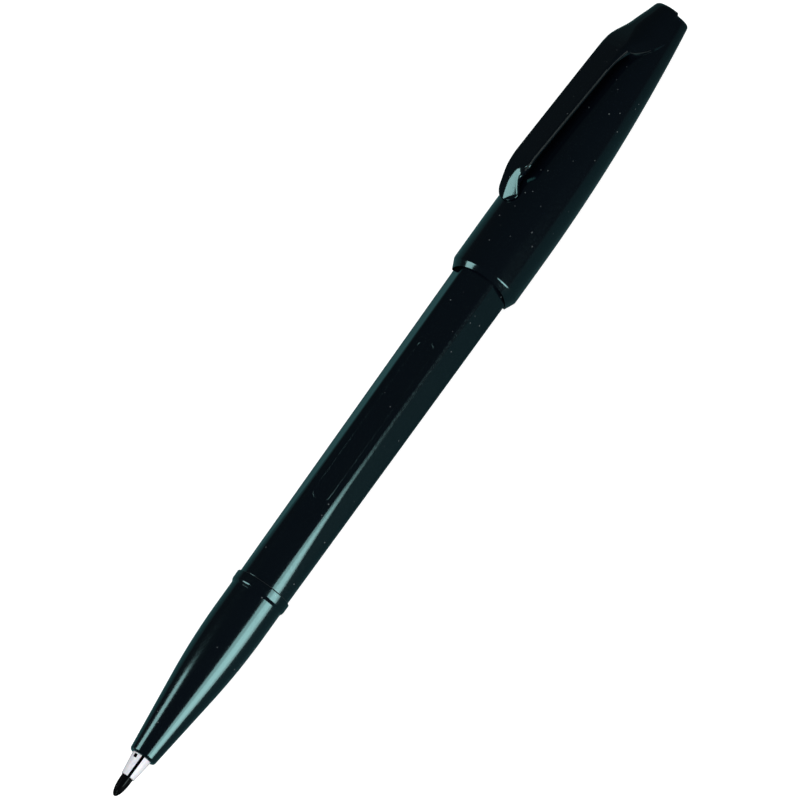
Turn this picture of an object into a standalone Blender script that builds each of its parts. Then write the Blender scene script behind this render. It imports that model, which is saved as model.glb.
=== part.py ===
"""A felt-tip pen lying on a table, with its cap posted on the rear end of the barrel.

Every piece is modelled upright round the pen's axis, which is local +Z, with the point of the tip at z = 0.
The empty "pen" then lays the whole pen down: local +Z becomes world +X and local +X becomes world +Z.
All sizes are in metres. A station is a distance along the axis from the point of the tip.
"""

import math

import bmesh
import bpy
from mathutils import Vector

# Fibre tip
TIP_DIAMETER = 0.00186
TIP_EXPOSED = 0.0036
TIP_POINT_LENGTH = 0.0032
TIP_POINT_FLAT = 0.0003
TIP_IN_RESERVOIR = 0.007

# Nose that holds the tip
NOSE_EXPOSED = 0.00375
NOSE_WALL = 0.000665
NOSE_FRONT_WALL = 0.00016
NOSE_SHANK_LENGTH = 0.012
NOSE_SLIT_COUNT = 3
NOSE_SLIT_WIDTH = 0.00034
NOSE_SLIT_TURN_DEG = 25.0
NOSE_SLIT_UNDER_SECTION = 0.0006
NOSE_VENT_SIZE = 0.0006
NOSE_VENT_TURN_DEG = -15.0
NOSE_VENT_BEFORE_MOUTH = 0.0009

# Grip section: lip, straight cone, eased stretch, parallel stretch, collar and spigot
SECTION_LIP_WALL = 0.00052
SECTION_LIP_ROUND = 0.00025
SECTION_CONE_LENGTH = 0.0135
SECTION_EASE_LENGTH = 0.0125
SECTION_PARALLEL_LENGTH = 0.0043
SECTION_BORE_RAMP = 0.008
COLLAR_WIDTH = 0.0021
COLLAR_RISE = 0.00026
COLLAR_EDGE = 0.0003
SPIGOT_LENGTH = 0.0118
SPIGOT_WALL = 0.0007

# Ink reservoir and its film
RESERVOIR_DIAMETER = 0.0069
RESERVOIR_END_ROOM = 0.0032
WRAP_THICKNESS = 0.0001

# Barrel: round at the collar, six-sided at the cap, then a round tail
BARREL_WALL = 0.0007
BARREL_HEX_LENGTH = 0.0713
BARREL_CORNER_RADIUS = 0.0013
BARREL_FRONT_FLAT = 0.0005
BARREL_REAR_CHAMFER = 0.0003
TAIL_LENGTH = 0.009
TAIL_STEP = 0.0005
TAIL_WALL = 0.0005
TAIL_BORE_RAMP = 0.0015

# Tail plug
PLUG_STEM_LENGTH = 0.0064
PLUG_FLANGE = 0.001
PLUG_EDGE = 0.0003
PLUG_NOSE_TAPER = 0.0005

# Cap
CAP_LENGTH = 0.0526
CAP_WALL = 0.00076
CAP_LIP_LENGTH = 0.0022
CAP_PARALLEL_LENGTH = 0.009
CAP_TAPER_POWER = 2.0
CAP_END_DIAMETER = 0.0054
CAP_END_ROUND = 0.0008
CAP_END_WALL = 0.0025
CAP_POSTED_DEPTH = 0.0251
CAP_BORE_PAST_HEX = 0.001

# Inner cap
INNER_CAP_BORE = 0.0063
INNER_CAP_WALL = 0.00055
INNER_CAP_END_WALL = 0.0008

# Clip and the head of the cap that it grows from
CLIP_TURN_DEG = -35.0
CLIP_LENGTH = 0.0294
CLIP_THICKNESS = 0.0014
CLIP_ROOT_ROOM = 0.0012
CLIP_ROOT_WIDTH = 0.0058
CLIP_NOSE_ROOM = 0.00083
CLIP_NOSE_LENGTH = 0.0069
CLIP_NOSE_WIDTH = 0.005
CLIP_NOSE_NARROWING = 0.3
CLIP_TOUCH_LENGTH = 0.0041
CLIP_END_THICKNESS = 0.0006
CLIP_CORNER_POWER = 5.0
HEAD_LENGTH = 0.0091
HEAD_FRONT_DRAFT = 0.0001
HEAD_SLOPE_POWER = 1.3
HEAD_END_WIDTH = 0.0036
HEAD_CORNER_POWER = 8.0

# Clearances
TIP_GAP = 0.00003
PRESS_GAP = 0.0001
SLIP_GAP = 0.00015
FACE_GAP = 0.0002
CAP_GAP = 0.00012
CLIP_GAP = 0.0002

# Fineness of the round and curved shapes
HEX_SIDES = 6
CORNER_STEPS = 6
TURN_STEPS = HEX_SIDES * CORNER_STEPS
EASE_STEPS = 5
TAPER_STEPS = 9
ROUND_STEPS = 3
STRAP_POINTS = 20
CREASE_ANGLE = math.radians(32)
WELD_DISTANCE = 1e-7

# Finishes: colour and roughness
BLACK_PLASTIC = ((0.004, 0.005, 0.006), 0.22)
WHITE_PLASTIC = ((0.78, 0.78, 0.82), 0.4)
LINER_PLASTIC = ((0.7, 0.7, 0.68), 0.5)
INKED_FIBRE = ((0.006, 0.006, 0.008), 0.5)
SOAKED_FIBRE = ((0.01, 0.01, 0.014), 0.8)
CLEAR_FILM = ((0.8, 0.8, 0.8), 0.2)

# Radii that follow from what fits in what
HALF_SIDE = math.pi / HEX_SIDES
HALF_STEP = math.pi / TURN_STEPS
TIP_RADIUS = TIP_DIAMETER / 2
NOSE_HOLE_RADIUS = TIP_RADIUS + TIP_GAP
NOSE_RADIUS = NOSE_HOLE_RADIUS + NOSE_WALL
SECTION_BORE_RADIUS = NOSE_RADIUS + PRESS_GAP
SECTION_MOUTH_RADIUS = SECTION_BORE_RADIUS + SECTION_LIP_WALL
RESERVOIR_RADIUS = RESERVOIR_DIAMETER / 2
WRAP_BORE_RADIUS = RESERVOIR_RADIUS + PRESS_GAP
WRAP_RADIUS = WRAP_BORE_RADIUS + WRAP_THICKNESS
BARREL_BORE_RADIUS = WRAP_RADIUS + SLIP_GAP
BARREL_APOTHEM = BARREL_BORE_RADIUS + BARREL_WALL
BARREL_CORNER_REACH = (BARREL_APOTHEM - BARREL_CORNER_RADIUS) / math.cos(HALF_SIDE) + BARREL_CORNER_RADIUS
GRIP_RADIUS = BARREL_APOTHEM
COLLAR_RADIUS = GRIP_RADIUS + COLLAR_RISE
SPIGOT_RADIUS = BARREL_BORE_RADIUS - PRESS_GAP
SPIGOT_BORE_RADIUS = SPIGOT_RADIUS - SPIGOT_WALL
TAIL_RADIUS = BARREL_APOTHEM - TAIL_STEP
TAIL_BORE_RADIUS = TAIL_RADIUS - TAIL_WALL
PLUG_STEM_RADIUS = TAIL_BORE_RADIUS - PRESS_GAP
CAP_BORE_RADIUS = BARREL_CORNER_REACH + CAP_GAP
CAP_RADIUS = CAP_BORE_RADIUS + CAP_WALL
CAP_END_RADIUS = CAP_END_DIAMETER / 2

# Stations along the axis
SECTION_MOUTH = TIP_EXPOSED + NOSE_EXPOSED
NOSE_REAR = SECTION_MOUTH + NOSE_SHANK_LENGTH
CONE_END = SECTION_MOUTH + SECTION_CONE_LENGTH
EASE_END = CONE_END + SECTION_EASE_LENGTH
COLLAR_FRONT = EASE_END + SECTION_PARALLEL_LENGTH
COLLAR_REAR = COLLAR_FRONT + COLLAR_WIDTH
SPIGOT_REAR = COLLAR_REAR + SPIGOT_LENGTH
BARREL_FRONT = COLLAR_REAR + FACE_GAP
BARREL_SHOULDER = BARREL_FRONT + BARREL_HEX_LENGTH
TAIL_REAR = BARREL_SHOULDER + TAIL_LENGTH
FLANGE_FRONT = TAIL_REAR + FACE_GAP
PLUG_REAR = FLANGE_FRONT + PLUG_FLANGE
PLUG_FRONT = FLANGE_FRONT - PLUG_STEM_LENGTH
RESERVOIR_FRONT = SPIGOT_REAR + FACE_GAP
RESERVOIR_REAR = min(PLUG_FRONT, BARREL_SHOULDER - TAIL_BORE_RAMP) - RESERVOIR_END_ROOM
TIP_REAR = RESERVOIR_FRONT + TIP_IN_RESERVOIR
CAP_MOUTH = PLUG_REAR - CAP_POSTED_DEPTH
CAP_REAR = CAP_MOUTH + CAP_LENGTH
CAP_TAPER_START = CAP_MOUTH + CAP_PARALLEL_LENGTH
CAP_CAVITY_REAR = CAP_REAR - CAP_END_WALL
INNER_CAP_MOUTH = PLUG_REAR + FACE_GAP
INNER_CAP_REAR = CAP_CAVITY_REAR - FACE_GAP
HEAD_FRONT = CAP_REAR - HEAD_LENGTH
CLIP_ROOT = HEAD_FRONT - CLIP_GAP
CLIP_TIP = CLIP_ROOT - CLIP_LENGTH
CLIP_NOSE_START = CLIP_TIP + CLIP_NOSE_LENGTH
CLIP_TURN = math.radians(CLIP_TURN_DEG)


def clear_scene():
    for old in list(bpy.data.objects):
        bpy.data.objects.remove(old, do_unlink=True)


def plain_material(name, finish):
    """A material of one colour and roughness."""
    colour, roughness = finish
    material = bpy.data.materials.new(name)
    material.use_nodes = True
    shader = material.node_tree.nodes["Principled BSDF"]
    shader.inputs["Base Color"].default_value = (*colour, 1.0)
    shader.inputs["Roughness"].default_value = roughness
    shader.inputs["Metallic"].default_value = 0.0
    return material


def empty(name, parent=None, location=(0, 0, 0)):
    holder = bpy.data.objects.new(name, None)
    holder.parent = parent
    holder.location = location
    bpy.context.scene.collection.objects.link(holder)
    return holder


def add_object(name, bm, finish, parent):
    """Turns a closed bmesh into a smooth-shaded object, faces out, with creases at its sharp edges."""
    bmesh.ops.remove_doubles(bm, verts=bm.verts, dist=WELD_DISTANCE)
    bmesh.ops.recalc_face_normals(bm, faces=bm.faces)
    if bm.calc_volume(signed=True) < 0:
        bmesh.ops.reverse_faces(bm, faces=bm.faces)
    mesh = bpy.data.meshes.new(name)
    bm.to_mesh(mesh)
    bm.free()
    mesh.shade_smooth()
    mesh.set_sharp_from_angle(angle=CREASE_ANGLE)
    mesh.materials.append(plain_material(f"{name}_finish", finish))
    piece = bpy.data.objects.new(name, mesh)
    piece.parent = parent
    bpy.context.scene.collection.objects.link(piece)
    return piece


def turned(name, profile, finish, parent):
    """Spins a closed outline of (radius, station) points about the axis."""
    bm = bmesh.new()
    points = [bm.verts.new(around(radius, HALF_STEP, station)) for radius, station in profile]
    edges = [bm.edges.new(pair) for pair in zip(points, points[1:] + points[:1])]
    bmesh.ops.spin(
        bm,
        geom=points + edges,
        cent=(0, 0, 0),
        axis=(0, 0, 1),
        angle=math.tau,
        steps=TURN_STEPS,
        use_merge=True,
    )
    return add_object(name, bm, finish, parent)


def lofted(name, rings, finish, parent, tube=False):
    """Skins rings of equally many points. A tube joins its last ring to its first. Other skins have ends."""
    bm = bmesh.new()
    loops = [[bm.verts.new(point) for point in ring] for ring in rings]
    followers = loops[1:] + (loops[:1] if tube else [])
    for loop, follower in zip(loops, followers):
        for here in range(len(loop)):
            bm.faces.new((loop[here - 1], loop[here], follower[here], follower[here - 1]))
    if not tube:
        bm.faces.new(reversed(loops[0]))
        bm.faces.new(loops[-1])
    return add_object(name, bm, finish, parent)


def around(radius, turn, station):
    """The point at this radius from the axis and this turn from +X."""
    return Vector((radius * math.cos(turn), radius * math.sin(turn), station))


def ring_turns():
    """Turns of the points of a round ring, which has a facet and not a corner at its lowest line."""
    return [math.tau * step / TURN_STEPS + HALF_STEP for step in range(TURN_STEPS)]


def circle(radius, station):
    return [around(radius, turn, station) for turn in ring_turns()]


def rounded_hexagon(apothem, corner_radius, station):
    """A ring with six flats, one facing +X, and arcs at its corners. Large arcs make it nearly round."""
    arc_centre = (apothem - corner_radius) / math.cos(HALF_SIDE)
    ring = []
    for corner in range(HEX_SIDES):
        middle = HALF_SIDE * (2 * corner + 1)
        centre = around(arc_centre, middle, station)
        for turn in between(middle - HALF_SIDE, middle + HALF_SIDE, CORNER_STEPS - 1):
            ring.append(centre + around(corner_radius, turn, 0))
    return ring


def between(first, last, steps):
    return [first + (last - first) * step / steps for step in range(steps + 1)]


def quarter_arc():
    """Pairs from (0, 0) to (1, 1) round a quarter of a circle, starting along the second axis."""
    return [(1 - math.cos(turn), math.sin(turn)) for turn in between(0, math.pi / 2, ROUND_STEPS)]


def smooth_step(share):
    share = min(max(share, 0.0), 1.0)
    return share * share * (3 - 2 * share)


def section_cone_radius(station):
    """Outside of the grip section: a straight cone from the mouth, eased into the parallel grip."""
    slope = (GRIP_RADIUS - SECTION_MOUTH_RADIUS) / (SECTION_CONE_LENGTH + SECTION_EASE_LENGTH / 2)
    eased = max(0.0, station - CONE_END) ** 2 / (2 * SECTION_EASE_LENGTH)
    return SECTION_MOUTH_RADIUS + slope * (station - SECTION_MOUTH - eased)


def cap_radius(station):
    """Outside of the cap's round body: parallel from the mouth, then tapering ever faster to the end."""
    run = max(0.0, station - CAP_TAPER_START) / (CAP_REAR - CAP_TAPER_START)
    return CAP_RADIUS - (CAP_RADIUS - CAP_END_RADIUS) * run**CAP_TAPER_POWER


def cavity_radius(station):
    """Inside of the cap past the end of the barrel's flats."""
    return cap_radius(station) - CAP_WALL


def clip_root_height():
    """How far the back of the clip lies from the pen's axis where the clip leaves the head."""
    return cap_radius(CLIP_ROOT) + CLIP_ROOT_ROOM + CLIP_THICKNESS


def clip_hinge_height():
    """How far the line where the clip bends lies from the pen's axis."""
    return clip_root_height() - CLIP_THICKNESS / 2


def make_fibre_tip(parent):
    """A fibre rod with a ground bullet point, long enough to reach into the reservoir."""
    last_turn = math.asin(TIP_POINT_FLAT / TIP_RADIUS)
    turns = between(math.pi / 2, last_turn, 2 * ROUND_STEPS)
    point = [(TIP_RADIUS * math.sin(turn), TIP_POINT_LENGTH * (1 - math.cos(turn))) for turn in turns]
    front = TIP_POINT_LENGTH * (1 - math.cos(last_turn))
    profile = [(0.0, TIP_REAR), (TIP_RADIUS, TIP_REAR), *point, (0.0, front)]
    return turned("fibre_tip", profile, INKED_FIBRE, parent)


def cutter_block(name, size, turn, radius, station, parent):
    """A hidden block, turned about the axis, for cutting slits and holes."""
    bm = bmesh.new()
    bmesh.ops.create_cube(bm, size=1.0)
    bmesh.ops.scale(bm, vec=size, verts=bm.verts)
    mesh = bpy.data.meshes.new(name)
    bm.to_mesh(mesh)
    bm.free()
    block = bpy.data.objects.new(name, mesh)
    block.parent = parent
    block.location = around(radius, turn, station)
    block.rotation_euler = (0, 0, turn)
    block.hide_render = True
    block.display_type = "WIRE"
    bpy.context.scene.collection.objects.link(block)
    return block


def cut(piece, block):
    boolean = piece.modifiers.new(block.name, "BOOLEAN")
    boolean.operation = "DIFFERENCE"
    boolean.solver = "EXACT"
    boolean.object = block


def make_tip_holder(parent):
    """The nose: a tapered front that shows, a shank in the grip section, slits and an air vent."""
    front_radius = NOSE_HOLE_RADIUS + NOSE_FRONT_WALL
    profile = [
        (NOSE_RADIUS, NOSE_REAR),
        (NOSE_RADIUS, SECTION_MOUTH),
        (front_radius, TIP_EXPOSED),
        (NOSE_HOLE_RADIUS, TIP_EXPOSED),
        (NOSE_HOLE_RADIUS, NOSE_REAR),
    ]
    holder = turned("tip_holder", profile, WHITE_PLASTIC, parent)
    cut_depth = 2 * NOSE_RADIUS
    cut_radius = NOSE_HOLE_RADIUS / 2 + NOSE_RADIUS
    slit_front = TIP_EXPOSED - cut_depth
    slit_rear = SECTION_MOUTH + NOSE_SLIT_UNDER_SECTION
    slit_size = (cut_depth, NOSE_SLIT_WIDTH, slit_rear - slit_front)
    slit_middle = (slit_front + slit_rear) / 2
    for slit in range(NOSE_SLIT_COUNT):
        turn = math.radians(NOSE_SLIT_TURN_DEG) + math.tau * slit / NOSE_SLIT_COUNT
        name = f"slit_cutter_{slit + 1}"
        cut(holder, cutter_block(name, slit_size, turn, cut_radius, slit_middle, parent))
    vent_size = (cut_depth, NOSE_VENT_SIZE, NOSE_VENT_SIZE)
    vent_turn = math.radians(NOSE_VENT_TURN_DEG)
    vent_station = SECTION_MOUTH - NOSE_VENT_BEFORE_MOUTH
    cut(holder, cutter_block("vent_cutter", vent_size, vent_turn, cut_radius, vent_station, parent))
    return holder


def make_grip_section(parent):
    """The tapered front of the pen, its collar, and the spigot that plugs into the barrel."""
    ease = [(section_cone_radius(station), station) for station in between(EASE_END, CONE_END, EASE_STEPS)]
    lip_round = min(SECTION_LIP_ROUND, SECTION_LIP_WALL / 2)
    lip = [
        (SECTION_MOUTH_RADIUS - lip_round * inward, SECTION_MOUTH + lip_round * (1 - forward))
        for inward, forward in quarter_arc()
    ]
    profile = [
        (SPIGOT_RADIUS, SPIGOT_REAR),
        (SPIGOT_RADIUS, COLLAR_REAR),
        (COLLAR_RADIUS - COLLAR_EDGE / 2, COLLAR_REAR),
        (COLLAR_RADIUS, COLLAR_REAR - COLLAR_EDGE),
        (COLLAR_RADIUS, COLLAR_FRONT + COLLAR_EDGE),
        (GRIP_RADIUS, COLLAR_FRONT),
        *ease,
        *lip,
        (SECTION_BORE_RADIUS, SECTION_MOUTH),
        (SECTION_BORE_RADIUS, NOSE_REAR),
        (SPIGOT_BORE_RADIUS, NOSE_REAR + SECTION_BORE_RAMP),
        (SPIGOT_BORE_RADIUS, SPIGOT_REAR),
    ]
    return turned("grip_section", profile, BLACK_PLASTIC, parent)


def make_reservoir(parent):
    """The fibre bundle, pierced at its front by the tip."""
    hole_radius = TIP_RADIUS + TIP_GAP
    hole_rear = TIP_REAR + FACE_GAP
    profile = [
        (0.0, RESERVOIR_REAR),
        (RESERVOIR_RADIUS, RESERVOIR_REAR),
        (RESERVOIR_RADIUS, RESERVOIR_FRONT),
        (hole_radius, RESERVOIR_FRONT),
        (hole_radius, hole_rear),
        (0.0, hole_rear),
    ]
    return turned("ink_reservoir", profile, SOAKED_FIBRE, parent)


def make_reservoir_wrap(parent):
    """The film sleeve round the bundle."""
    profile = [
        (WRAP_RADIUS, RESERVOIR_REAR),
        (WRAP_RADIUS, RESERVOIR_FRONT),
        (WRAP_BORE_RADIUS, RESERVOIR_FRONT),
        (WRAP_BORE_RADIUS, RESERVOIR_REAR),
    ]
    return turned("reservoir_wrap", profile, CLEAR_FILM, parent)


def make_barrel(parent):
    """A tube, nearly round at the collar and six-sided at the cap, with a shoulder and a round tail."""
    front_corner = BARREL_APOTHEM - BARREL_FRONT_FLAT / 2 / math.tan(HALF_SIDE)
    chamfer = min(BARREL_REAR_CHAMFER, TAIL_STEP / 2)
    rear_apothem = BARREL_APOTHEM - chamfer
    rear_corner = BARREL_CORNER_RADIUS - chamfer
    rings = [
        rounded_hexagon(BARREL_APOTHEM, front_corner, BARREL_FRONT),
        rounded_hexagon(BARREL_APOTHEM, BARREL_CORNER_RADIUS, CAP_MOUTH),
        rounded_hexagon(BARREL_APOTHEM, BARREL_CORNER_RADIUS, BARREL_SHOULDER - chamfer),
        rounded_hexagon(rear_apothem, rear_corner, BARREL_SHOULDER),
        circle(TAIL_RADIUS, BARREL_SHOULDER),
        circle(TAIL_RADIUS, TAIL_REAR),
        circle(TAIL_BORE_RADIUS, TAIL_REAR),
        circle(TAIL_BORE_RADIUS, BARREL_SHOULDER),
        circle(BARREL_BORE_RADIUS, BARREL_SHOULDER - TAIL_BORE_RAMP),
        circle(BARREL_BORE_RADIUS, BARREL_FRONT),
    ]
    return lofted("barrel", rings, BLACK_PLASTIC, parent, tube=True)


def make_tail_plug(parent):
    """A pressed-in plug with a flange that covers the rear end of the tail."""
    profile = [
        (0.0, PLUG_REAR),
        (TAIL_RADIUS - PLUG_EDGE, PLUG_REAR),
        (TAIL_RADIUS, PLUG_REAR - PLUG_EDGE),
        (TAIL_RADIUS, FLANGE_FRONT),
        (PLUG_STEM_RADIUS, FLANGE_FRONT),
        (PLUG_STEM_RADIUS, PLUG_FRONT + PLUG_NOSE_TAPER),
        (PLUG_STEM_RADIUS - PLUG_NOSE_TAPER, PLUG_FRONT),
        (0.0, PLUG_FRONT),
    ]
    return turned("tail_plug", profile, BLACK_PLASTIC, parent)


def head_ring(station, shrink=0.0):
    """A ring of the cap's head: the round body, with the clip's root standing out of it on one side."""
    share = (station - HEAD_FRONT) / HEAD_LENGTH
    root_height = clip_root_height()
    top = root_height + (CAP_END_RADIUS - root_height) * share**HEAD_SLOPE_POWER - shrink
    half_width = (CLIP_ROOT_WIDTH + (HEAD_END_WIDTH - CLIP_ROOT_WIDTH) * share) / 2 - shrink
    body = cap_radius(station) - shrink
    ring = []
    for turn in ring_turns():
        along = math.cos(turn - CLIP_TURN)
        across = abs(math.sin(turn - CLIP_TURN))
        reach = body
        if along > 0:
            powers = (along / top) ** HEAD_CORNER_POWER + (across / half_width) ** HEAD_CORNER_POWER
            reach = max(body, powers ** (-1 / HEAD_CORNER_POWER))
        ring.append(around(reach, turn, station))
    return ring


def make_cap_shell(parent):
    """A cup with a rounded mouth and a tapering body, whose solid head carries the clip's root."""
    taper_front = BARREL_SHOULDER + CAP_BORE_PAST_HEX
    cavity = [
        circle(cavity_radius(station), station)
        for station in between(CAP_CAVITY_REAR, taper_front, TAPER_STEPS)
    ]
    bore = [circle(CAP_BORE_RADIUS, BARREL_SHOULDER), circle(CAP_BORE_RADIUS, CAP_MOUTH)]
    lip = [
        circle(CAP_BORE_RADIUS + CAP_WALL * outward, CAP_MOUTH + CAP_LIP_LENGTH * along)
        for along, outward in quarter_arc()[1:]
    ]
    body = [
        circle(cap_radius(station), station)
        for station in between(CAP_TAPER_START, HEAD_FRONT - HEAD_FRONT_DRAFT, TAPER_STEPS)
    ]
    head = [head_ring(station) for station in between(HEAD_FRONT, CAP_REAR - CAP_END_ROUND, ROUND_STEPS)]
    rounding = [
        head_ring(CAP_REAR - CAP_END_ROUND * (1 - along), CAP_END_ROUND * inward)
        for inward, along in quarter_arc()[1:]
    ]
    return lofted("cap_shell", cavity + bore + lip + body + head + rounding, BLACK_PLASTIC, parent)


def make_inner_cap(parent):
    """A soft thimble in the cap. Its rim meets the end of the barrel here, and the cone of a shut pen."""
    bore_rear = INNER_CAP_REAR - INNER_CAP_END_WALL

    def outer_radius(station):
        return cavity_radius(station) - PRESS_GAP

    def bore_radius(station):
        return min(INNER_CAP_BORE / 2, outer_radius(station) - INNER_CAP_WALL)

    outside_stations = between(INNER_CAP_REAR, INNER_CAP_MOUTH, TAPER_STEPS)
    outside = [(outer_radius(station), station) for station in outside_stations]
    inside_stations = between(INNER_CAP_MOUTH, bore_rear, TAPER_STEPS)
    inside = [(bore_radius(station), station) for station in inside_stations]
    profile = [(0.0, INNER_CAP_REAR), *outside, *inside, (0.0, bore_rear)]
    return turned("inner_cap", profile, LINER_PLASTIC, parent)


def strap_ring(station):
    """A cross-section of the clip. +X points away from the pen's axis, from where the clip bends."""
    run = min(1.0, (CLIP_ROOT - station) / (CLIP_ROOT - CLIP_NOSE_START))
    past_strap = max(0.0, CLIP_NOSE_START - station)
    nose = past_strap / CLIP_NOSE_LENGTH
    root_back = clip_root_height()
    nose_back = CAP_RADIUS + CLIP_NOSE_ROOM + CLIP_THICKNESS
    back = root_back + (nose_back - root_back) * run
    touch = cap_radius(station) + CLIP_GAP
    end_back = touch + CLIP_END_THICKNESS
    top = end_back + (back - end_back) * math.sqrt(max(0.0, 1 - nose**2))
    bottom = touch + (back - CLIP_THICKNESS - touch) * (1 - smooth_step(past_strap / CLIP_TOUCH_LENGTH))
    half_width = (CLIP_ROOT_WIDTH + (CLIP_NOSE_WIDTH - CLIP_ROOT_WIDTH) * run) / 2
    half_width *= 1 - CLIP_NOSE_NARROWING * nose**2
    middle = (top + bottom) / 2
    half_thickness = (top - bottom) / 2
    power = 2 / CLIP_CORNER_POWER
    ring = []
    for step in range(STRAP_POINTS):
        turn = math.tau * (step + 0.5) / STRAP_POINTS
        up = math.copysign(abs(math.cos(turn)) ** power, math.cos(turn))
        side = math.copysign(abs(math.sin(turn)) ** power, math.sin(turn))
        height = middle + half_thickness * up - clip_hinge_height()
        ring.append(Vector((height, half_width * side, station - CLIP_ROOT)))
    return ring


def make_clip(parent):
    """The clip, with its origin on the line at its root where it bends."""
    strap = between(CLIP_ROOT, CLIP_NOSE_START, EASE_STEPS)
    turns = between(0, math.pi / 2, 2 * ROUND_STEPS)
    nose = [CLIP_NOSE_START - CLIP_NOSE_LENGTH * math.sin(turn) for turn in turns]
    rings = [strap_ring(station) for station in strap + nose[1:]]
    clip = lofted("pocket_clip", rings, BLACK_PLASTIC, parent)
    clip.location = around(clip_hinge_height(), CLIP_TURN, CLIP_ROOT - CAP_MOUTH)
    clip.rotation_euler = (0, 0, CLIP_TURN)
    return clip


def lay_down(pen, pieces):
    """Lays the pen along X with the middle of its footprint at the origin and its lowest line at z = 0."""
    pen.rotation_euler = (math.pi, -math.pi / 2, 0)
    bpy.context.view_layer.update()
    corners = [piece.matrix_world @ vertex.co for piece in pieces for vertex in piece.data.vertices]
    low = Vector([min(corner[axis] for corner in corners) for axis in range(3)])
    high = Vector([max(corner[axis] for corner in corners) for axis in range(3)])
    pen.location = (-(low.x + high.x) / 2, -(low.y + high.y) / 2, -low.z)
    bpy.context.view_layer.update()


def main():
    clear_scene()
    pen = empty("pen")
    cap_travel = empty("cap_travel", pen, (0, 0, CAP_MOUTH))
    on_cap = empty("cap_stations", cap_travel, (0, 0, -CAP_MOUTH))
    pieces = [
        make_fibre_tip(pen),
        make_tip_holder(pen),
        make_grip_section(pen),
        make_reservoir(pen),
        make_reservoir_wrap(pen),
        make_barrel(pen),
        make_tail_plug(pen),
        make_cap_shell(on_cap),
        make_inner_cap(on_cap),
        make_clip(cap_travel),
    ]
    lay_down(pen, pieces)


main()
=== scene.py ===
import math

import bmesh
import bpy
from mathutils import Matrix, Vector


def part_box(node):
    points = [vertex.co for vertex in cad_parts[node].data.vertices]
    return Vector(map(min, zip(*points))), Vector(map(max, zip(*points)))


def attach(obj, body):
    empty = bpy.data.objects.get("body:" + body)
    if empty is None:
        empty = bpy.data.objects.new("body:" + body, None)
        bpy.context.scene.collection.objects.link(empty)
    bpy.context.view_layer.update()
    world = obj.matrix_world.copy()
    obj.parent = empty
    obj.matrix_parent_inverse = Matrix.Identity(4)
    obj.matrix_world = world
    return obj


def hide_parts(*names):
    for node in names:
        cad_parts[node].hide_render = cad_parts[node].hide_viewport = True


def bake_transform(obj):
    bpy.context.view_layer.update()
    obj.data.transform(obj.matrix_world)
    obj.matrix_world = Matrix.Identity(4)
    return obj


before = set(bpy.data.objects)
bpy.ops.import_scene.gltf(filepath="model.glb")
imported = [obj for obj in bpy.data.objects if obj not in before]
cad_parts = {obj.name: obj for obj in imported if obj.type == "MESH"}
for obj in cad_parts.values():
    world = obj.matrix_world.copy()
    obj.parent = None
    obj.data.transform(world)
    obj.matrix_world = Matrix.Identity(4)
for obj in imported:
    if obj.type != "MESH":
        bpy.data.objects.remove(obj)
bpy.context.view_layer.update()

# Fibre tip
# A stick of parallel acrylic fibres glued together, ground to a bullet at the writing end and black
# with ink. It is pushed into the nose from the front, and its rear end dips into the ink reservoir.
MM = 0.001
TINY = 1e-6
TIP_RADIUS = 0.96
TIP_POINT_LENGTH = 3.1
TIP_FIRST_BEND = 0.14
TIP_POINT_STEPS = 18
TIP_REAR_CHAMFER = 0.2
TIP_PROUD = 0.3
TIP_FLUTES = 20
TIP_FLUTE_DEPTH = 0.008
TIP_AROUND = 120
INK_BLACK = (0.001, 0.0014, 0.002, 1)
INK_FLECK = (0.05, 0.066, 0.064, 1)
INK_SHINE = 0.03
NOISE_SPAN = (0.3, 0.7)

barrel_low, barrel_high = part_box("barrel")
AXIS_Y = (barrel_low.y + barrel_high.y) / 2
AXIS_Z = (barrel_low.z + barrel_high.z) / 2
TIP_FRONT_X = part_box("fibre_tip")[0].x


def beside_axis(station, up, side):
    """A point of the lying pen: mm back from the tip, mm above its axis and mm to the -Y side."""
    return Vector((TIP_FRONT_X + station * MM, AXIS_Y - side * MM, AXIS_Z + up * MM))


def on_pen(station, radius, turn):
    """A point of the pen at a radius in mm and a turn from the top flat towards the -Y side."""
    return beside_axis(station, radius * math.cos(turn), radius * math.sin(turn))


def ends_of(node):
    """Where a CAD piece starts and ends, in mm back from the tip."""
    low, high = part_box(node)
    return (low.x - TIP_FRONT_X) / MM, (high.x - TIP_FRONT_X) / MM


def spread(first, last, steps):
    """Evenly spaced values from the first to the last."""
    return [first + (last - first) * step / steps for step in range(steps + 1)]


def skinned(rings, joined_ends=False):
    """Quads between neighbouring rings of points. A ring of one point closes its end in a fan."""
    bm = bmesh.new()
    loops = [[bm.verts.new(point) for point in ring] for ring in rings]
    pairs = list(zip(loops, loops[1:]))
    if joined_ends:
        pairs.append((loops[-1], loops[0]))
    for near, far in pairs:
        count = max(len(near), len(far))
        for step in range(count):
            after = (step + 1) % count
            corners = [near[step % len(near)], near[after % len(near)]]
            corners += [far[after % len(far)], far[step % len(far)]]
            bm.faces.new(list(dict.fromkeys(corners)))
    return bm


def as_piece(name, bm, finish, crease_deg=38):
    """A mesh object in the scene, smooth but for its sharp edges."""
    bmesh.ops.recalc_face_normals(bm, faces=bm.faces)
    mesh = bpy.data.meshes.new(name)
    bm.to_mesh(mesh)
    bm.free()
    mesh.materials.append(finish)
    mesh.shade_smooth()
    mesh.set_sharp_from_angle(angle=math.radians(crease_deg))
    piece = bpy.data.objects.new(name, mesh)
    bpy.context.scene.collection.objects.link(piece)
    return piece


def new_finish(name):
    """A node material, its nodes and its Principled shader."""
    finish = bpy.data.materials.new(name)
    finish.use_nodes = True
    return finish, finish.node_tree, finish.node_tree.nodes["Principled BSDF"]


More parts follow.
